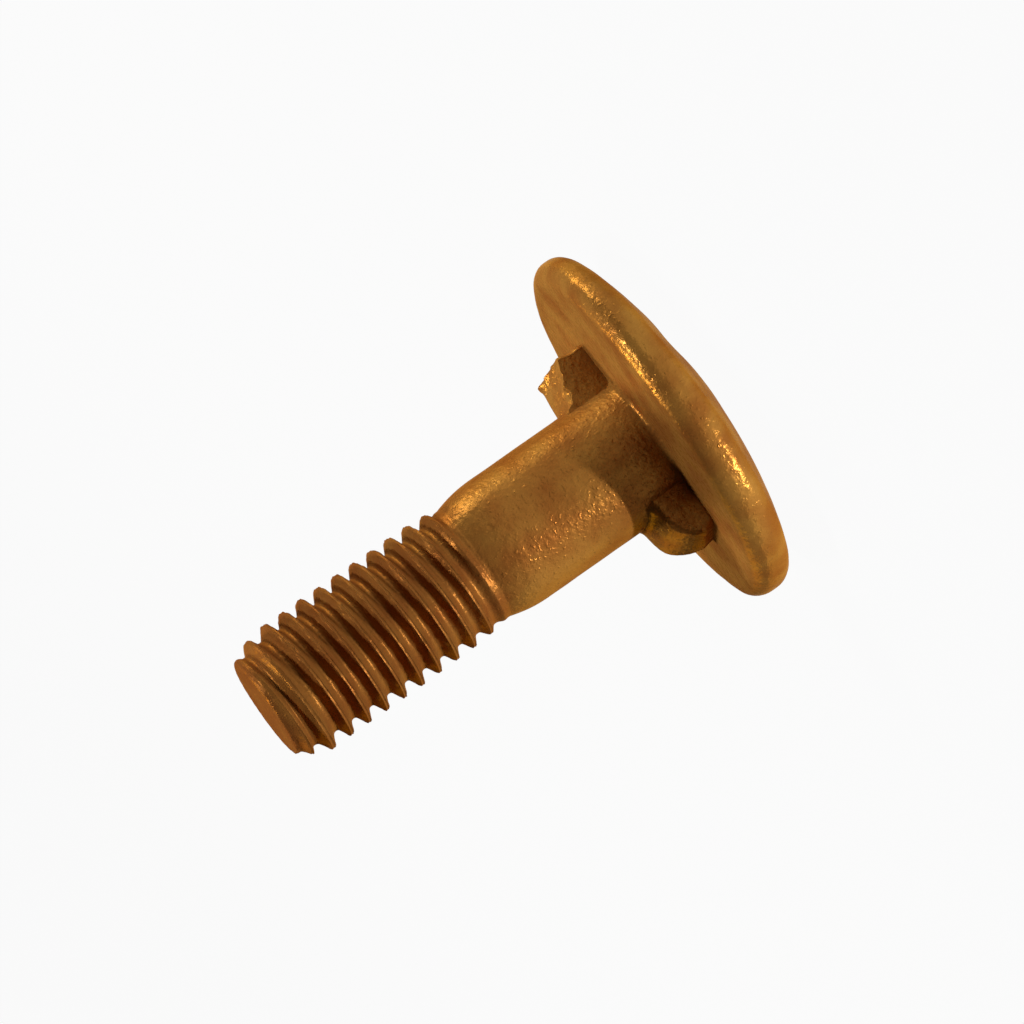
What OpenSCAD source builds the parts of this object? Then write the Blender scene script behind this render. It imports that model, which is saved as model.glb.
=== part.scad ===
// Mower knife bolt: a domed disc head, two lugs under it that stop the bolt turning,
// a plain shank and a rolled thread. It is forged and rolled as one piece.
//
// Millimetres. The origin is the centre of the head's bearing face, and +Z runs
// along the shank to the threaded end. The sheared lug is on +X, the ear on -X.

/* [Thread] */
// Nominal diameter of the thread
thread_d = 10; // [9:0.5:12]
// Pitch: how far the thread climbs in one turn
thread_pitch = 1.5; // [1:0.25:1.75]
// Length from the end of the bolt to where the thread has faded out
thread_len = 17.6; // [12:0.2:20]
// How far the rolled crest stays below the nominal radius
crest_short = 0.14; // [0:0.02:0.2]
// Width of the rounded crest
crest_w = 0.22; // [0.1:0.02:0.3]
// Width of the rounded root
root_w = 0.34; // [0.2:0.02:0.4]
// Length over which the thread fades out beside the neck
runout_len = 1.8; // [0.5:0.1:3]
// Length of the rounded taper that leads a nut on to the thread
point_len = 2.4; // [1:0.2:4]
// Bulge of that taper: 1 makes it a cone, and more rounds it
point_bulge = 1.2; // [1:0.1:2]
// Angle round the axis at which the crest meets the end face
thread_turn = 50; // [0:5:355]

/* [Shank] */
// How much thinner the plain shank is than the thread's nominal diameter
shank_under = 0.2; // [0:0.05:0.4]
// Length under the head, from the bearing face to the end of the bolt
under_head_len = 32.6; // [30:0.2:60]
// Length of the plain neck between the thread and the shoulder
neck_len = 0.3; // [0.1:0.1:1]
// Length of the rounded shoulder, where the shank drops to the neck
shoulder_len = 2.8; // [1.6:0.2:3.2]
// Radius of the fillet between the shank and the bearing face
shank_fillet_r = 0.5; // [0.2:0.1:1.2]

/* [Head] */
// Diameter of the head
head_d = 27.6; // [24:0.2:34]
// Height of the head, from the bearing face to the flat in the middle of the crown
head_h = 5.2; // [4.4:0.1:8]
// How much of the crown's curve that flat takes off; the bolt can stand on it
crown_cut = 0.1; // [0.04:0.02:0.3]
// Rounding of the rim where it meets the bearing face
rim_face_r = 1; // [0.4:0.1:1.3]
// Rounding of the rim where it runs into the crown
rim_crown_r = 1.5; // [0.8:0.1:1.8]
// Straight land round the rim, between the two roundings
rim_land = 0.5; // [0.1:0.05:1]

/* [Lugs] */
// Width of each lug
lug_w = 4.9; // [3:0.1:6]
// Height of the sheared lug at the shank, above the bearing face
lug_h = 3.65; // [2.8:0.05:4.4]
// Radius that the ear reaches at the bearing face
lug_reach = 8.3; // [7.6:0.05:10]
// Draft of the lugs' outer ends, in degrees
lug_draft = 9; // [0:1:12]
// How steeply the lugs' free ends fall outwards, in degrees
lug_slope = 9; // [0:1:12]
// How much lower the ear is than the sheared lug
ear_low = 0.25; // [0:0.05:0.6]
// How steeply the ear's free end falls towards -Y, in degrees
ear_fall = 10; // [0:0.5:18]
// Corner radius of the ear
ear_corner_r = 1.3; // [0.5:0.1:1.6]
// Radius of the fillet from the ear's free end to the shank
ear_fillet_r = 0.7; // [0.2:0.1:1]
// How much further than the ear the sheared lug reaches
sheared_more = 0.1; // [0:0.05:0.5]
// How steeply the sheared lug's free end falls towards -Y, in degrees
sheared_fall = 3; // [0:1:9]
// Corner radius of the sheared lug
sheared_corner_r = 0.2; // [0.1:0.1:0.8]
// Radius of the fillet from the sheared lug's free end to the shank
sheared_fillet_r = 0.2; // [0.1:0.1:0.6]
// How far the break lies below the sheared lug's free end, beside the shank at its -Y side
chip_drop = 0.8; // [0.4:0.1:1.4]
// How steeply the break falls towards -Y, in degrees
chip_fall = 16; // [12:1:30]
// How steeply the break falls outwards, in degrees
chip_slope = 18; // [14:1:35]

/* [Hidden] */
$fn = 96;

PLATED_STEEL = [0.64, 0.42, 0.15];

// A buried piece runs this far into the solid that carries it.
sink = 0.5;
// Two surfaces that would only touch overlap by this much, so that they cross cleanly.
bite = 0.03;
// Longer than any solid here, for the tools that cut the lugs
beyond = 40;

head_r = head_d / 2;
shank_r = (thread_d - shank_under) / 2;

// The thread is rolled on a neck of its pitch diameter, and rounds out the usual
// share of a sharp 60 degree thread.
neck_r = thread_d / 2 - 0.325 * thread_pitch;
crest_r = thread_d / 2 - crest_short;
root_r = thread_d / 2 - 0.66 * thread_pitch;
// The taper at the point ends this far below the thread's root.
point_r = root_r - 0.24;
// Where a flank meets the rounded crest or root, it is this far short of it.
thread_ease = 0.05;
// The shoulder ends this far inside the neck, which the thread's solid begins with.
shoulder_tuck = 0.05;

// Heights along the shank
thread_foot = under_head_len - thread_len;
shoulder_top = thread_foot - neck_len;
shoulder_foot = shoulder_top - shoulder_len;

// Centre of the crown's sphere, which meets the rim's rounding smoothly
rim_mid = rim_face_r + rim_land;
rim_in = head_r - rim_crown_r;
rim_down = head_h + crown_cut - rim_mid;
crown_r = (rim_in ^ 2 + rim_down ^ 2 - rim_crown_r ^ 2) / (2 * (rim_down - rim_crown_r));
crown_z = crown_r - head_h - crown_cut;

// Half of the head's section: a disc with a rounded rim, and a spherical crown with
// a flat in its middle
module head_section() {
    // The crown ends on the line through its own centre and the centre of the rim's
    // rounding. Here that line is as low as the flat.
    crown_side = rim_in * (crown_z + head_h) / (crown_z + rim_mid);
    intersection() {
        translate([0, crown_z]) circle(crown_r);
        polygon([
            [0, 0], [rim_in, 0], [rim_in, -rim_mid], [crown_side, -head_h], [0, -head_h]
        ]);
    }
    polygon([
        [0, 0], [head_r - rim_face_r, 0], [head_r - rim_face_r, -rim_face_r],
        [head_r, -rim_face_r], [head_r, -rim_mid], [0, -rim_mid]
    ]);
    translate([head_r - rim_face_r, -rim_face_r]) circle(rim_face_r);
    translate([rim_in, -rim_mid]) circle(rim_crown_r);
}

// What fills the inside corner round a shaft, with its foot on the X axis
module fillet_section(shaft_r, r) {
    difference() {
        translate([shaft_r - sink, -sink]) square([r + sink, r + sink]);
        translate([shaft_r + r, r]) circle(r);
    }
}

// Half of the shank's section, from inside the head to the end of the shoulder
module shank_section() {
    drop = shank_r - neck_r + shoulder_tuck;
    shoulder_r = (shoulder_len ^ 2 + drop ^ 2) / (2 * drop);
    translate([0, -sink]) square([shank_r, shoulder_foot + sink]);
    intersection() {
        translate([shank_r - shoulder_r, shoulder_foot]) circle(shoulder_r);
        translate([0, shoulder_foot - sink]) square([shank_r, shoulder_len + sink]);
    }
    fillet_section(shank_r, shank_fillet_r);
}

// Section of the round plug that a lug is cut from, with its free end on the X axis:
// a drafted outer end, a round corner, and a fillet up the shank. The plug leans with
// the free end's slope. `foot` is the radius that the lug reaches at the bearing face,
// and `height` is its height at the shank.
module plug_section(foot, height, corner_r, fillet_r) {
    lean = lug_draft + lug_slope;
    out = foot - shank_r;
    foot_at = [
        shank_r + out * cos(lug_slope) + height * sin(lug_slope),
        out * sin(lug_slope) - height * cos(lug_slope)
    ];
    depth = height + 3 * sink;
    reach = foot_at[0] + foot_at[1] * tan(lean);
    corner = [reach + (corner_r * sin(lean) - corner_r) / cos(lean), -corner_r];
    polygon([
        [0, 0], [0, -depth], [reach + depth * tan(lean), -depth],
        corner + corner_r * [cos(lean), sin(lean)], corner, corner + [0, corner_r]
    ]);
    translate(corner + [bite, 0]) circle(corner_r);
    fillet_section(shank_r - bite, fillet_r);
}

// A lug on +X. Its free end slopes outwards, and falls towards -Y, where the trimming
// tool came in.
module lug(foot, height, corner_r, fillet_r, fall) {
    intersection() {
        translate([0, -lug_w / 2, -sink]) cube([beyond, lug_w, beyond]);
        translate([shank_r, 0, height]) rotate([fall, lug_slope, 0])
            translate([-shank_r, 0, 0])
                rotate_extrude() plug_section(foot, height, corner_r, fillet_r);
    }
}

// The sheared lug has broken away along a plane that falls outwards and towards -Y.
module sheared_lug() {
    foot = lug_reach + sheared_more;
    difference() {
        lug(foot, lug_h, sheared_corner_r, sheared_fillet_r, sheared_fall);
        translate([shank_r, -lug_w / 2, lug_h - chip_drop])
            rotate([chip_fall, chip_slope, 0]) translate([-beyond, -beyond, 0])
                cube([2 * beyond, 2 * beyond, beyond]);
    }
}

module ear_lug() {
    mirror([1, 0, 0])
        lug(lug_reach, lug_h - ear_low, ear_corner_r, ear_fillet_r, ear_fall);
}

// The neck and the thread are a grid of points. Each column stands at one angle and
// climbs through the same levels, which follow the helix. The columns' two ends are
// flat rings.
columns = 36;
crests = ceil(thread_len / thread_pitch) + 1;
// One turn of the thread's outline: height from the crest's middle, and radius
outline = [
    [-crest_w / 2, crest_r - thread_ease],
    [0, crest_r],
    [crest_w / 2, crest_r - thread_ease],
    [(thread_pitch - root_w) / 2, root_r + thread_ease],
    [thread_pitch / 2, root_r],
    [(thread_pitch + root_w) / 2, root_r + thread_ease]
];
turn = len(outline);
top_level = crests * turn + 1;
neck_foot = thread_foot - 2 * thread_pitch;

// The taper at the point: the largest radius that the thread has at height h
function point_limit(h) =
    let(run = max(0, 1 - (under_head_len - h) / point_len))
    crest_r - (crest_r - point_r) * run ^ point_bulge;

// How much of the thread's depth there is at height h: none at its foot, then all
function depth_share(h) =
    let(share = max(0, min(1, (h - thread_foot) / runout_len)))
    share * share * (3 - 2 * share);

function thread_r(h, r) =
    min(point_limit(h), neck_r + (r - neck_r) * depth_share(h));

// Past the end face, the outline winds inwards on the face itself.
function thread_point(angle, h, r) =
    let(
        past = max(0, h - under_head_len),
        at = past > 0 ? point_r * (1 - 0.35 * past / thread_pitch) : thread_r(h, r)
    )
    [at * cos(angle), at * sin(angle), h - past];

// One column: its foot inside the shank, the neck and the thread's outline at every
// crest, and the ring in the middle of the end face
function column_points(part) =
    let(angle = thread_turn + 360 * part)
    concat(
        [thread_point(angle, neck_foot, neck_r)],
        [
            for (crest = [1 - crests:0], knot = outline)
                thread_point(
                    angle,
                    under_head_len + (crest + part) * thread_pitch + knot[0],
                    knot[1]
                )
        ],
        [thread_point(angle, under_head_len + 2.5 * thread_pitch, 0)]
    );

function index(column, level) = column * (top_level + 1) + level;

module thread() {
    points = [for (c = [0:columns - 1]) each column_points(c / columns)];
    // The sides of all the columns but the last
    sides = [
        for (c = [0:columns - 2], level = [0:top_level - 1]) each [
            [index(c, level), index(c, level + 1), index(c + 1, level + 1)],
            [index(c, level), index(c + 1, level + 1), index(c + 1, level)]
        ]
    ];
    // From the last column back to the first, which stands one turn higher there
    last = columns - 1;
    seam = [
        for (level = [1:top_level - 2 - turn]) each [
            [index(last, level), index(last, level + 1), index(0, level + turn + 1)],
            [index(last, level), index(0, level + turn + 1), index(0, level + turn)]
        ]
    ];
    foot_seam = [
        for (level = [0:turn]) [index(last, 0), index(0, level + 1), index(0, level)]
    ];
    top_seam = [
        for (level = [top_level - 1 - turn:top_level - 1])
            [index(last, level), index(last, level + 1), index(0, top_level)]
    ];
    joints = [
        [index(last, 0), index(last, 1), index(0, turn + 1)],
        [index(last, top_level - 1 - turn), index(0, top_level), index(0, top_level - 1)]
    ];
    foot_face = [for (c = [0:last]) index(c, 0)];
    end_face = [for (c = [0:last]) index(last - c, top_level)];
    polyhedron(
        points, concat(sides, seam, foot_seam, top_seam, joints, [foot_face, end_face])
    );
}

module bolt() {
    color(PLATED_STEEL) {
        rotate_extrude() {
            head_section();
            shank_section();
        }
        sheared_lug();
        ear_lug();
        thread();
    }
}

bolt();
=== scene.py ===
import math

import bmesh
import bpy
from mathutils import Matrix, Vector, noise


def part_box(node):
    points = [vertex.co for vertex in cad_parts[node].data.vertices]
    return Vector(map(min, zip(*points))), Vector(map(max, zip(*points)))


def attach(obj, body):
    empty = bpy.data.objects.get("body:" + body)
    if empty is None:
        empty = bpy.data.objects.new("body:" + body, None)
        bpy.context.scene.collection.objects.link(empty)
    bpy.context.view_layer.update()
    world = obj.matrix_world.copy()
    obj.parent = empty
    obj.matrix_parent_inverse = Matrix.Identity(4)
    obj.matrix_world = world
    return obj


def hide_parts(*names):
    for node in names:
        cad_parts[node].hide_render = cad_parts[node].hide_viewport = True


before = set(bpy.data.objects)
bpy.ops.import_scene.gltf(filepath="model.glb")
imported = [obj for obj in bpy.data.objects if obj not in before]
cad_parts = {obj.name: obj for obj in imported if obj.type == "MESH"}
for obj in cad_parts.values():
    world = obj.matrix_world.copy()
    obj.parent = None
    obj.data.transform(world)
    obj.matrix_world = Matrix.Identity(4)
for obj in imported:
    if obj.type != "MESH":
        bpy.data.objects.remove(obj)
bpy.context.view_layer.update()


# ---------------------------------------------------------------------------
# The forged blank: a domed disc head with a rounded rim, a flat bearing face under
# it, and a plain round shank that ends in a rounded shoulder. It is upset hot from
# steel bar between two dies.

MM = 0.001

low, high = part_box("bolt")
head_r = (high[1] - low[1]) / 2
head_h = -low[2]
bolt_top = high[2]
rim_face_r = 1.3 * MM  # the rim's rounding beside the bearing face
rim_crown_r = 1.5 * MM  # and the one beside the crown
rim_land = 0.3 * MM  # the straight band between the two
crown_cut = 0.1 * MM  # how much of the dome the flat in its middle takes off
foot_fillet_r = 0.5 * MM
shank_r = 4.9 * MM
shoulder_foot = 11.9 * MM
shoulder_top = 15.05 * MM
neck_r = 4.42 * MM
neck_dip = 0.05 * MM  # how far under the neck's surface the shoulder runs out
round_steps = 192


def add_object(name, data):
    """Makes an object of a mesh, a lamp or a camera, and puts it in the scene."""
    made = bpy.data.objects.new(name, data)
    bpy.context.scene.collection.objects.link(made)
    return made


def as_object(bm, name):
    """Makes a mesh object of a bmesh, with merged doubles and faces that point outwards."""
    bmesh.ops.remove_doubles(bm, verts=bm.verts, dist=0.0005 * MM)
    bmesh.ops.recalc_face_normals(bm, faces=bm.faces)
    mesh = bpy.data.meshes.new(name)
    bm.to_mesh(mesh)
    bm.free()
    return add_object(name, mesh)


def line_to(bm, start, r, z, parts):
    """Draws a straight piece of the section from a vertex to (r, z), in equal parts."""
    step = (Vector((r, 0, z)) - start.co) / parts
    for _ in range(parts):
        last = bm.verts.new(start.co + step)
        bm.edges.new((start, last))
        start = last
    return last


def arc_on(bm, start, r, z, degrees, steps):
    """Spins a vertex round (r, z) in the section's plane, and returns the arc's last one."""
    spun = bmesh.ops.spin(
        bm, geom=[start], cent=(r, 0, z), axis=(0, 1, 0), angle=math.radians(degrees),
        steps=steps, use_merge=False, use_duplicate=False,
    )
    return [g for g in spun["geom_last"] if isinstance(g, bmesh.types.BMVert)][0]


# The crown's sphere meets the rim's rounding smoothly, and the shoulder's arc leaves
# the shank smoothly.
rim_mid = rim_face_r + rim_land
rim_in = head_r - rim_crown_r
rim_down = head_h + crown_cut - rim_mid
crown_r = (rim_in**2 + rim_down**2 - rim_crown_r**2) / (2 * (rim_down - rim_crown_r))
crown_z = crown_r - head_h - crown_cut
flat_r = math.sqrt(crown_r**2 - (crown_r - crown_cut) ** 2)
lean = math.degrees(math.atan2(rim_in, rim_mid + crown_z))
flat_lean = math.degrees(math.asin(flat_r / crown_r))
drop = shank_r - neck_r + neck_dip
shoulder_r = ((shoulder_top - shoulder_foot) ** 2 + drop**2) / (2 * drop)
shoulder_lean = math.degrees(math.asin((shoulder_top - shoulder_foot) / shoulder_r))

bm = bmesh.new()
at = bm.verts.new((0, 0, -head_h))
at = line_to(bm, at, flat_r, -head_h, parts=6)
at = arc_on(bm, at, 0, crown_z, -(lean - flat_lean), steps=34)
at = arc_on(bm, at, rim_in, -rim_mid, -(90 - lean), steps=12)
at = line_to(bm, at, head_r, -rim_face_r, parts=2)
at = arc_on(bm, at, head_r - rim_face_r, -rim_face_r, -90, steps=9)
at = line_to(bm, at, shank_r + foot_fillet_r, 0, parts=64)
at = arc_on(bm, at, shank_r + foot_fillet_r, foot_fillet_r, 90, steps=5)
at = line_to(bm, at, shank_r, shoulder_foot, parts=30)
at = arc_on(bm, at, shank_r - shoulder_r, shoulder_foot, -shoulder_lean, steps=10)
line_to(bm, at, 0, shoulder_top, parts=4)
bmesh.ops.spin(
    bm, geom=bm.verts[:] + bm.edges[:], cent=(0, 0, 0), axis=(0, 0, 1),
    angle=2 * math.pi, steps=round_steps, use_merge=True, use_duplicate=False,
)
blank = as_object(bm, "blank")


# ---------------------------------------------------------------------------
# The thread: M10 x 1.5, cold rolled between flat dies on a turned neck. The steel
# is pushed up into the crests from both flanks, which leaves a shallow seam along
# them, and the first and last turns fade in and out.

thread_pitch = 1.5 * MM
turn_steps = 120
turns = 15
first_crest = 11.45 * MM
thread_foot = 13.6 * MM  # inside the blank's shoulder

# The two flanks of a ridge, from the middle of its crest to the middle of the root:
# how far along the bolt, and the radius there, in mm. The one towards the head is
# steeper.
end_flank = [
    (0.0, 4.825), (0.055, 4.84), (0.11, 4.86), (0.155, 4.80), (0.21, 4.715),
    (0.29, 4.575), (0.38, 4.415), (0.47, 4.255), (0.55, 4.12), (0.63, 4.035), (0.75, 4.0),
]
head_flank = [
    (0.055, 4.84), (0.1, 4.86), (0.135, 4.80), (0.175, 4.715),
    (0.24, 4.575), (0.31, 4.415), (0.38, 4.255), (0.45, 4.12), (0.54, 4.035), (0.66, 4.0),
]

bm = bmesh.new()
ridge = [bm.verts.new((r * MM, 0, first_crest + z * MM)) for z, r in end_flank]
ridge += [
    bm.verts.new((r * MM, 0, first_crest + thread_pitch - z * MM))
    for z, r in reversed([end_flank[0]] + head_flank)
]
for v, w in zip(ridge, ridge[1:]):
    bm.edges.new((v, w))
bmesh.ops.spin(
    bm, geom=bm.verts[:] + bm.edges[:], cent=(0, 0, 0), axis=(0, 0, 1),
    dvec=(0, 0, thread_pitch / turn_steps), angle=2 * math.pi,
    steps=turn_steps, use_merge=False, use_duplicate=False,
)
one_turn = bm.verts[:] + bm.edges[:] + bm.faces[:]
for turn in range(1, turns):
    copy = bmesh.ops.duplicate(bm, geom=one_turn)["geom"]
    moved = [g for g in copy if isinstance(g, bmesh.types.BMVert)]
    bmesh.ops.translate(bm, verts=moved, vec=(0, 0, turn * thread_pitch))
bmesh.ops.remove_doubles(bm, verts=bm.verts, dist=0.002 * MM)


def ramp(value, start, end):
    """A smooth step from 0 at start to 1 at end."""
    share = max(0.0, min(1.0, (value - start) / (end - start)))
    return share * share * (3 - 2 * share)


# The ridge rises out of the neck, more slowly on the -X side, and sinks again towards
# the end. This is worked out in mm, as the flanks are.
neck = neck_r / MM
root = 4.0
root_fall = 0.25  # how much nearer the axis the root lies in the last turn
slow_rise = 1.4  # how far along the bolt the ridge takes to rise, on average
rise_lag = 0.5  # and how much longer that is on the -X side
end_left = 0.15  # what is left of the ridge's height at the end
end_gain = 0.33  # how much comes back with each mm from it
lag_gain = 0.22  # and how much more is left on the -X side
end_r = 4.0
end_edge_r = 0.4
for v in bm.verts:
    x, y, z = v.co / MM
    r = math.hypot(x, y)
    side = x / r
    to_end = bolt_top / MM - z
    climb = max(0.0, z - shoulder_top / MM) / (slow_rise - rise_lag * side)
    grown = (1 - math.exp(-climb)) * ramp(z, 14.9, 15.5)
    left = min(1.0, end_left + end_gain * max(0.0, to_end) + lag_gain * max(0.0, -side))
    foot = root - root_fall * (1 - ramp(to_end, 0.6, 2.0))
    new_r = neck + (foot + max(0.0, r - root) * left - neck) * grown
    # The end's edge is rounded, and nothing near it stands out past a steep cone.
    over = max(0.0, end_edge_r - to_end)
    edge = end_r - end_edge_r + math.sqrt(max(0.0, end_edge_r**2 - over**2))
    new_r = min(new_r, edge + 2 * max(0.0, to_end - end_edge_r))
    v.co.x *= new_r / r
    v.co.y *= new_r / r
    # The rolling has pushed the last ridge 0.2 mm towards the end.
    v.co.z += 0.2 * MM * ramp(to_end, 0.8, 1.5) * (1 - ramp(to_end, 1.6, 3.1))

# Both ends are cut square and closed with a few rings of faces.
for height, outer in ((bolt_top, True), (thread_foot, False)):
    bmesh.ops.bisect_plane(
        bm, geom=bm.verts[:] + bm.edges[:] + bm.faces[:], dist=0.0005 * MM,
        plane_co=(0, 0, height), plane_no=(0, 0, 1),
        clear_outer=outer, clear_inner=not outer,
    )
    ring = [e for e in bm.edges if e.is_boundary
            and all(abs(v.co.z - height) < 0.001 * MM for v in e.verts)]
    for share in (0.86, 0.8, 0.72, 0.6, 0.4):
        drawn = bmesh.ops.extrude_edge_only(bm, edges=ring)["geom"]
        ring = [g for g in drawn if isinstance(g, bmesh.types.BMEdge)]
        inner = [g for g in drawn if isinstance(g, bmesh.types.BMVert)]
        bmesh.ops.scale(bm, vec=(share, share, 1), verts=inner)
    bmesh.ops.pointmerge(bm, verts=inner, merge_co=(0, 0, height))
thread = as_object(bm, "thread")


# ---------------------------------------------------------------------------
# The two lugs under the head, forged with it. They sit in the slots of the cutting
# disc and stop the bolt turning. The ear on -X keeps its rounded corner; the trimming
# tool has sheared the one on +X off short and left it torn, with a burr at its tip.

lug_w = 4.9 * MM
lug_root = 3.4 * MM  # how near the axis a lug starts, inside the shank
lug_sunk = 0.3 * MM  # how deep in the head it starts
lug_upstand = 1.2 * MM  # how far it goes on up inside the shank
lug_slope = math.tan(math.radians(9))  # its free end falls outwards
lug_tuck = 0.08 * MM  # how far under the shank's surface its inner corner lies
fine_edge = 0.3 * MM  # the longest edge that is left whole


def lug_block(foot, tip, height, corner, fillet, side_edges):
    """A lug on +X, drawn out across its width from its section, in small triangles."""
    corner_at = (tip, height - (tip - shank_r) * lug_slope)
    fillet_at = (shank_r, height)
    section = [
        (lug_root, -lug_sunk), (foot, -lug_sunk), corner_at, fillet_at,
        (shank_r, height + lug_upstand), (lug_root, height + lug_upstand),
    ]
    bm = bmesh.new()
    face = bm.faces.new([bm.verts.new((x, -lug_w / 2, z)) for x, z in section])
    far = bmesh.ops.extrude_face_region(bm, geom=[face])["geom"]
    bmesh.ops.translate(
        bm, verts=[g for g in far if isinstance(g, bmesh.types.BMVert)], vec=(0, lug_w, 0)
    )
    bmesh.ops.recalc_face_normals(bm, faces=bm.faces)
    for (x, z), size in ((corner_at, corner), (fillet_at, fillet)):
        along = [e for e in bm.edges
                 if all(math.hypot(v.co.x - x, v.co.z - z) < 0.01 * MM for v in e.verts)]
        bmesh.ops.bevel(
            bm, geom=along, offset=size, offset_type="OFFSET", segments=7, profile=0.5,
            affect="EDGES", material=-1,
        )
    for side, size in side_edges:
        rim = [e for e in bm.edges
               if all(abs(v.co.y - side * lug_w / 2) < 0.001 * MM for v in e.verts)
               and max(v.co.x for v in e.verts) > lug_root + 0.1 * MM]
        bmesh.ops.bevel(
            bm, geom=rim, offset=size, offset_type="OFFSET", segments=4, profile=0.5,
            affect="EDGES", material=-1,
        )
    for _ in range(5):
        bmesh.ops.triangulate(bm, faces=bm.faces)
        coarse = [e for e in bm.edges if e.calc_length() > fine_edge]
        bmesh.ops.subdivide_edges(bm, edges=coarse, cuts=1)
    bmesh.ops.triangulate(bm, faces=bm.faces)
    for v in bm.verts:
        # The end beside the shank follows it round, just under its surface.
        fall = shank_r - math.sqrt(shank_r**2 - min(v.co.y**2, shank_r**2))
        hug = fall + lug_tuck
        v.co.x -= hug * (1 - ramp(v.co.x, shank_r, shank_r + 2 * MM))
    return bm


def hump(value, middle, width):
    """A smooth hump, 1 high in the middle, that fades away over the width."""
    return math.exp(-((value - middle) / width) ** 2)


# The ear's free end leans across its width, and is a little lumpy.
ear_h = 3.4 * MM
ear_lean = math.tan(math.radians(10))
bm = lug_block(
    foot=8.35 * MM, tip=7.6 * MM, height=ear_h, corner=1.55 * MM, fillet=0.6 * MM,
    side_edges=((-1, 0.4 * MM), (1, 0.3 * MM)),
)
for v in bm.verts:
    v.co.z += v.co.y * ear_lean * max(0.0, v.co.z) / ear_h
    lump = noise.noise(v.co / (1.6 * MM) + Vector((5, 0, 0)))
    v.co.z += 0.07 * MM * lump * ramp(v.co.z, 1.5 * MM, 2.5 * MM)
    v.co.x += 0.05 * MM * noise.noise(v.co / (1.3 * MM)) * ramp(v.co.x, 6 * MM, 7.5 * MM)
bmesh.ops.scale(bm, vec=(-1, 1, 1), verts=bm.verts)
ear = as_object(bm, "ear")

sheared_reach = 8.2 * MM
bm = lug_block(
    foot=sheared_reach, tip=sheared_reach, height=3.75 * MM, corner=0.12 * MM,
    fillet=0.15 * MM, side_edges=((-1, 0.3 * MM), (1, 0.12 * MM)),
)
# Its break slopes down outwards and rises across the lug. It is rough, with a tooth and
# a notch in its near edge. All this is worked out in mm.
shank = shank_r / MM
break_h = 2.86  # beside the shank, on the near side
break_fall = 0.33
break_rise = 0.29
for v in bm.verts:
    x, y, z = v.co / MM
    from_side = y + lug_w / MM / 2
    # The shear has dragged the outer end out of square.
    end_near = 7.54 + 0.31 * max(-0.3, min(z, 1.7))
    end_far = 8.35 - 0.06 * z
    end = end_near + (end_far - end_near) * from_side / (lug_w / MM)
    if x > shank:
        v.co.x = (shank + (x - shank) * (end - shank) / (sheared_reach / MM - shank)) * MM
    x = v.co.x / MM
    # What stood above the break is pressed down on to it.
    flat = Vector((x, y, 0))
    torn = break_h - break_fall * (x - shank) + break_rise * from_side
    torn += 0.16 * noise.noise(flat / 0.75) + 0.1 * abs(noise.noise(flat / 0.4))
    tooth = 0.28 * hump(x, 6.1, 0.3) - 0.25 * hump(x, 5.45, 0.25)
    torn += tooth * hump(from_side, 0, 0.6)
    if x > 4.5 and z > torn:
        v.co.z = (torn + 0.05 * (z - torn)) * MM
    # The burr: a lip that the shear dragged up at the outer end's far side.
    lip = hump(x, 8.1, 0.35) * ramp(y, -0.2, 1.0)
    v.co.z += 0.25 * MM * lip * ramp(v.co.z / MM, 2.4, 3.0)
    v.co.x += 0.05 * MM * noise.noise(v.co / (0.9 * MM)) * ramp(x, 6, 7.5)
sheared = as_object(bm, "sheared")


# ---------------------------------------------------------------------------
# The whole bolt: one piece of steel, so the blank, the lugs and the thread are joined.
# The dies leave it slightly uneven, with its head a little off the shank's axis and out
# of square. They leave the bearing face smoother, with turning marks from their tool.

sliver = 0.002 * MM
die_lump = 4.5 * MM  # the size of the soft waves that the dies leave in the head
die_lump_h = 0.05 * MM
skin_lump = 1.4 * MM  # and of the forged skin's unevenness, all over the bolt
skin_lump_h = 0.018 * MM
crest_lump = 0.6 * MM  # and of the folds along the rolled crests
crest_lump_h = 0.09 * MM
# Real turning marks are 0.1 to 0.2 mm apart, too fine to show, so they are coarser here.
mark_gap = 0.5 * MM
mark_h = 0.007 * MM
head_off_x = 0.4 * MM  # from the shank's axis
head_off_y = -0.08 * MM
head_wider = 0.0072  # than the blank's
face_tilt = -0.009  # how the bearing face falls along X
crown_tilt = 0.0196  # and how much the crown's own tilt differs from it
head_tilt = -0.0075  # how both fall along Y

for part in (sheared, ear, thread):
    join = blank.modifiers.new("join", "BOOLEAN")
    join.operation = "UNION"
    join.solver = "MANIFOLD"
    join.object = part
depsgraph = bpy.context.evaluated_depsgraph_get()
whole = bpy.data.meshes.new_from_object(blank.evaluated_get(depsgraph))
for part in (blank, sheared, ear, thread):
    bpy.data.objects.remove(part)

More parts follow.
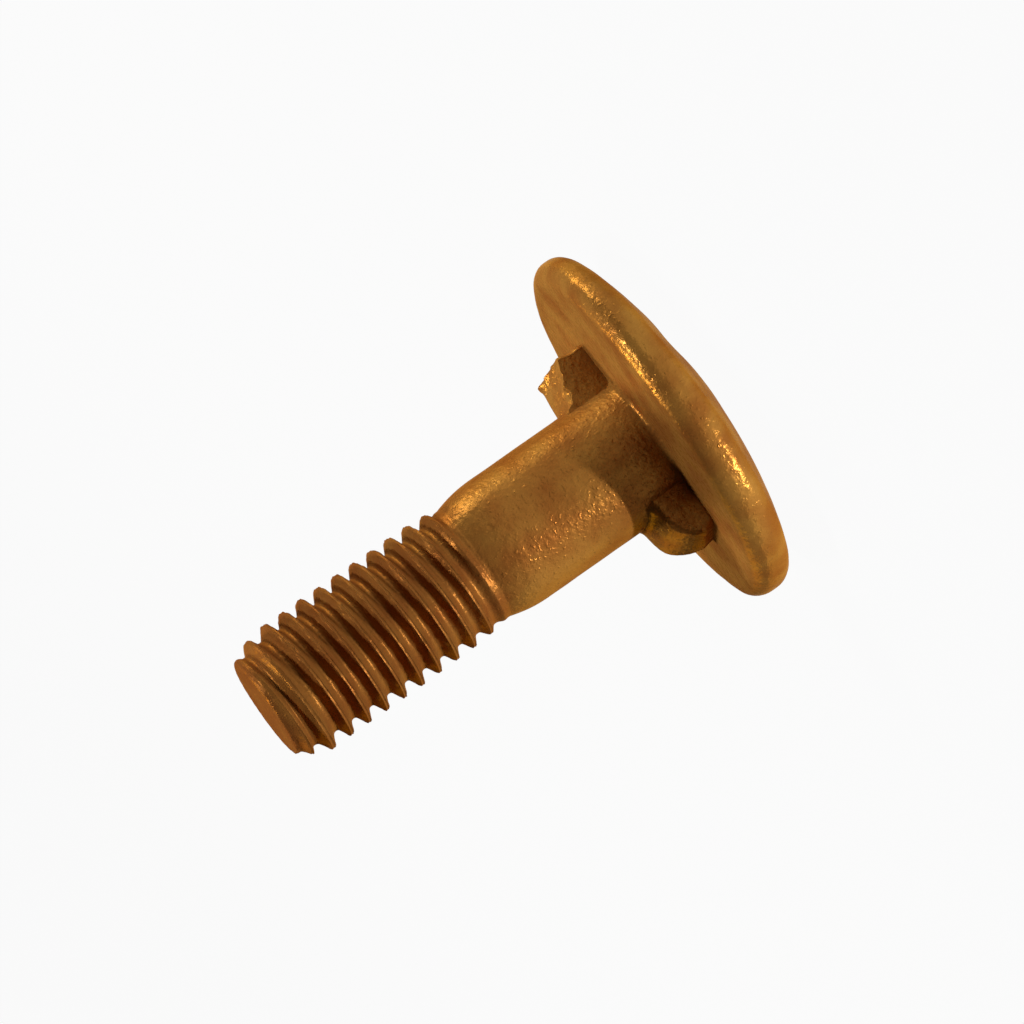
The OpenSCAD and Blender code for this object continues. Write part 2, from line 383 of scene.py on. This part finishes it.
bm = bmesh.new()
bm.from_mesh(whole)
bmesh.ops.remove_doubles(bm, verts=bm.verts, dist=sliver)
bmesh.ops.dissolve_degenerate(bm, edges=bm.edges, dist=sliver)
bm.normal_update()
brown_and_shade_mask = bm.verts.layers.float.new("brown_and_shade_mask")
forged = bm.verts.layers.float.new("forged")
for v in bm.verts:
    x, y, z = v.co / MM
    r = math.hypot(x, y)
    to_end = bolt_top / MM - z
    # How far the colour is mixed towards the darker brown: little on the crown and the rim,
    # more on the bearing face and the shank, and most on the thread and at its end. It is
    # higher still on the thread's crests, as painted shade that dims their highlights.
    v[brown_and_shade_mask] = 0.08 + 0.19 * ramp(z, -1.2, -0.1)
    v[brown_and_shade_mask] += (0.31 + 0.09 * ramp(r, 4.3, 4.8)) * ramp(z, 14.4, 15.6)
    v[brown_and_shade_mask] += 0.22 * (1 - ramp(to_end, 0.1, 0.6))

    in_head = max(ramp(r, 6, 9) * (1 - ramp(z, 0, 1)), ramp(-z, 0, 1))
    on_thread = ramp(z, 14.8, 16.0)
    on_face = ramp(r, 5.6, 6.4) * (1 - ramp(r, 12.3, 12.9)) * (1 if abs(z) < 0.02 else 0)
    v[forged] = 1 - 0.75 * on_face
    waves = die_lump_h * noise.noise(v.co / die_lump)
    skin = skin_lump_h * noise.noise(v.co / skin_lump)
    folds = crest_lump_h * noise.noise(v.co / crest_lump)
    marks = mark_h * math.cos(2 * math.pi * r * MM / mark_gap)
    lump = waves * in_head * (1 - 0.7 * on_face)
    lump += skin * (1 - 0.6 * on_thread) * (1 - on_face)
    lump += folds * on_thread * ramp(r, 4.4, 4.8)
    lump += marks * on_face * ramp(x, 2, 7)
    v.co += v.normal * lump

    v.co.x += (head_off_x + head_wider * x * MM) * in_head
    v.co.y += (head_off_y + head_wider * y * MM) * in_head
    deep = ramp(-z, 0.3, 3.5)
    v.co.z += ((crown_tilt * deep + face_tilt) * x + head_tilt * y) * MM * in_head
    # The bearing face is bent up a little along +X and at its edge on -X.
    bent = 0.005 * max(x, 0) + 0.12 * ramp(-x, 10, 12.5)
    v.co.z += bent * (1 - deep) * MM * in_head
    # The crown is a little flat, with a shallow dent beside its middle.
    dent = 0.18 + 0.2 * hump(x, 2.4, 1.4) * hump(y, -6, 4)
    v.co.z += dent * MM * ramp(r, 3.5, 5.5) * ramp(-z, 1.5, 3)
bmesh.ops.triangulate(bm, faces=[f for f in bm.faces if len(f.verts) > 4])
bm.to_mesh(whole)
bm.free()
for polygon in whole.polygons:
    polygon.use_smooth = True
whole.set_sharp_from_angle(angle=math.radians(38))
bolt = add_object("mower_knife_bolt_steel", whole)


def linear(hex_colour):
    """Turns an sRGB hex colour into the linear RGBA that a socket takes."""
    parts = [int(hex_colour[i:i + 2], 16) / 255 for i in (1, 3, 5)]
    return [p / 12.92 if p <= 0.04045 else ((p + 0.055) / 1.055) ** 2.4 for p in parts] + [1]


def add_node(tree, kind, sockets=None, **settings):
    """Adds a node, sets its settings, and sets or links its input sockets."""
    made = tree.nodes.new(kind)
    for name, value in settings.items():
        setattr(made, name, value)
    for name, value in (sockets or {}).items():
        if isinstance(value, bpy.types.NodeSocket):
            tree.links.new(value, made.inputs[name])
        else:
            made.inputs[name].default_value = value
    return made


# Steel, electroplated with zinc and passivated golden brown in a bath. The plating
# copies the forged skin, so it is a satin metal with an orange-peel grain. The
# passivate is a coloured film over it with no gloss of its own. It scatters much of
# the light, so the surface is only about a quarter metallic, with golden reflections.
thin_gold = linear("#B98239")
thick_gold = linear("#A0642A")
# The darker brown that the shank and the thread are mixed towards; on the crests it is painted
# shade.
darker_brown_and_shade = linear("#7A4420")
golden_sheen = linear("#F0B870")
blotch_size = 3.2 * MM  # the passivate ran off the bolt in blotches 3 to 4 mm across
peel_size = 0.45 * MM  # the forged skin's dimples are 0.4 to 0.5 mm wide
peel_depth = 0.062 * MM
# Specks of plating that stand up are about 0.1 mm wide, too fine to show, so they are
# drawn coarser.
speck_size = 0.3 * MM
speck_height = 0.023 * MM
dull_by_brown_and_shade = 0.25

steel = bpy.data.materials.new("yellow_passivated_zinc_on_steel")
steel.use_nodes = True
tree = steel.node_tree
tree.nodes.clear()
place = add_node(tree, "ShaderNodeTexCoord").outputs["Object"]
brown_and_shade = add_node(tree, "ShaderNodeAttribute", attribute_name="brown_and_shade_mask").outputs["Fac"]
uneven = add_node(tree, "ShaderNodeAttribute", attribute_name="forged").outputs["Fac"]

# The colour: blotches of thinner and thicker film, mixed towards a darker brown by the
# mask above, which on the thread's crests is painted shade. A Mix node's two colours are
# its inputs 6 and 7, and the mixed one is its output 2.
blotches = add_node(
    tree, "ShaderNodeTexNoise", {"Vector": place, "Scale": 1 / blotch_size, "Detail": 3.0}
).outputs["Fac"]
blotch_share = add_node(
    tree, "ShaderNodeMapRange", {"Value": blotches, "From Min": 0.36, "From Max": 0.64}
).outputs["Result"]
gold = add_node(
    tree, "ShaderNodeMix", {"Factor": blotch_share, 6: thick_gold, 7: thin_gold},
    data_type="RGBA",
).outputs[2]
colour = add_node(
    tree, "ShaderNodeMix", {"Factor": brown_and_shade, 6: gold, 7: darker_brown_and_shade}, data_type="RGBA"
).outputs[2]

# The relief: orange peel with specks on it, fainter on the smooth bearing face.
peel = add_node(
    tree, "ShaderNodeTexNoise", {"Vector": place, "Scale": 1 / peel_size, "Detail": 2.0}
).outputs["Fac"]
grit = add_node(
    tree, "ShaderNodeTexNoise", {"Vector": place, "Scale": 1 / speck_size, "Detail": 1.0}
).outputs["Fac"]
specks = add_node(
    tree, "ShaderNodeMapRange", {"Value": grit, "From Min": 0.58, "From Max": 0.8}
).outputs["Result"]
bump = add_node(
    tree, "ShaderNodeBump", {"Height": peel, "Distance": peel_depth, "Strength": uneven}
).outputs["Normal"]
bump = add_node(
    tree, "ShaderNodeBump",
    {"Height": specks, "Distance": speck_height, "Strength": uneven, "Normal": bump},
).outputs["Normal"]

# The polish: shinier in the dimples, duller where the colour is mixed browner.
rough = add_node(
    tree, "ShaderNodeMapRange",
    {"Value": peel, "From Min": 0.3, "From Max": 0.7, "To Min": 0.15, "To Max": 0.29},
).outputs["Result"]
rough = add_node(
    tree, "ShaderNodeMath", {0: brown_and_shade, 1: dull_by_brown_and_shade, 2: rough}, operation="MULTIPLY_ADD"
).outputs[0]
shader = add_node(
    tree, "ShaderNodeBsdfPrincipled",
    {"Base Color": colour, "Metallic": 0.26, "Roughness": rough, "Normal": bump,
     "Specular Tint": golden_sheen, "Specular IOR Level": 0.0},
).outputs["BSDF"]
add_node(tree, "ShaderNodeOutputMaterial", {"Surface": shader})
whole.materials.clear()
whole.materials.append(steel)

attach(bolt, "root")
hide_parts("bolt")


# ---------------------------------------------------------------------------
# The studio: a floor of white paper under the crown that the bolt stands on, and six
# lamps. Two of them are below the floor's level, so it casts no shadow. It looks white,
# but its matt part is grey, which keeps the light that it sends up into shadows low.

floor_half = 3
floor_glow = 0.95  # how much of what the camera and reflections see of it is white glow
lamp_distance = 0.4
bolt_middle = Vector((0, 0, 0.012))

bm = bmesh.new()
bmesh.ops.create_grid(bm, x_segments=1, y_segments=1, size=floor_half)
bmesh.ops.translate(bm, verts=bm.verts, vec=(0, 0, -head_h))
mesh = bpy.data.meshes.new("floor")
bm.to_mesh(mesh)
bm.free()
floor = add_object("floor", mesh)
floor.visible_shadow = False
paper = bpy.data.materials.new("white_floor_paper")
paper.use_nodes = True
tree = paper.node_tree
tree.nodes.clear()
ray = add_node(tree, "ShaderNodeLightPath").outputs
seen = add_node(
    tree, "ShaderNodeMath", {0: ray["Is Camera Ray"], 1: ray["Is Glossy Ray"]}, operation="ADD"
).outputs[0]
seen = add_node(
    tree, "ShaderNodeMath", {0: seen, 1: ray["Is Transmission Ray"]}, operation="ADD",
    use_clamp=True,
).outputs[0]
share = add_node(
    tree, "ShaderNodeMath", {0: seen, 1: floor_glow}, operation="MULTIPLY"
).outputs[0]
matt = add_node(tree, "ShaderNodeBsdfDiffuse", {"Color": linear("#80807E")}).outputs[0]
glow = add_node(tree, "ShaderNodeEmission", {"Strength": 1.0}).outputs[0]
both = add_node(tree, "ShaderNodeMixShader", {0: share, 1: matt, 2: glow}).outputs[0]
add_node(tree, "ShaderNodeOutputMaterial", {"Surface": both})
mesh.materials.append(paper)

world = bpy.data.worlds.new("studio")
bpy.context.scene.world = world
world.use_nodes = True
background = world.node_tree.nodes["Background"].inputs
background["Color"].default_value = (1, 1, 1, 1)
background["Strength"].default_value = 0.025


def direction(azimuth, elevation):
    """The way out from the bolt at two angles in degrees."""
    a = math.radians(azimuth)
    e = math.radians(elevation)
    return Vector((math.cos(a) * math.cos(e), math.sin(a) * math.cos(e), math.sin(e)))


def lamp(name, azimuth, elevation, width, height, power):
    """An oblong area lamp that looks at the middle of the bolt from a direction."""
    light = bpy.data.lights.new(name, "AREA")
    light.shape = "RECTANGLE"
    light.size = width
    light.size_y = height
    light.energy = power
    made = add_object(name, light)
    away = direction(azimuth, elevation)
    made.location = bolt_middle + away * lamp_distance
    made.rotation_euler = away.to_track_quat("Z", "Y").to_euler()
    made.visible_camera = False


lamp("side_lamp", 0, 0, 0.16, 0.16, 0.96)
# A narrow strip below the head, so that the rim throws a sharp shadow on the shank
lamp("low_lamp", -148, -30, 0.11, 0.006, 1.22)
lamp("crown_lamp", -156, -42, 0.05, 0.05, 0.3)
lamp("end_lamp", -24, 60, 0.05, 0.05, 0.8)
lamp("back_lamp", 60, 60, 0.1, 0.1, 1.06)
lamp("rim_lamp", 108, 30, 0.2, 0.2, 0.22)

# The camera looks along the bolt's side from a little above the bearing face, and
# is rolled so that the thread points down to the left.
camera_distance = 0.5133
aim_along = 0.01046
aim_across = -0.0014
roll = math.radians(215.053)
back = direction(-102.8614, 9.3246)
upright = (Vector((0, 0, 1)) - back * back.z).normalized()
across = back.cross(upright)
right = upright * math.cos(roll) - across * math.sin(roll)
up = upright * math.sin(roll) + across * math.cos(roll)
camera_data = bpy.data.cameras.new("camera")
camera_data.sensor_width = 36
camera_data.lens = 259.4
camera_data.clip_start = 0.01
camera_data.clip_end = 20
camera = add_object("camera", camera_data)
bpy.context.scene.camera = camera
aim = upright * aim_along + across * aim_across
camera.matrix_world = Matrix.Translation(aim + back * camera_distance) @ Matrix(
    (right, up, back)
).transposed().to_4x4()

bpy.context.scene.view_settings.view_transform = "Standard"
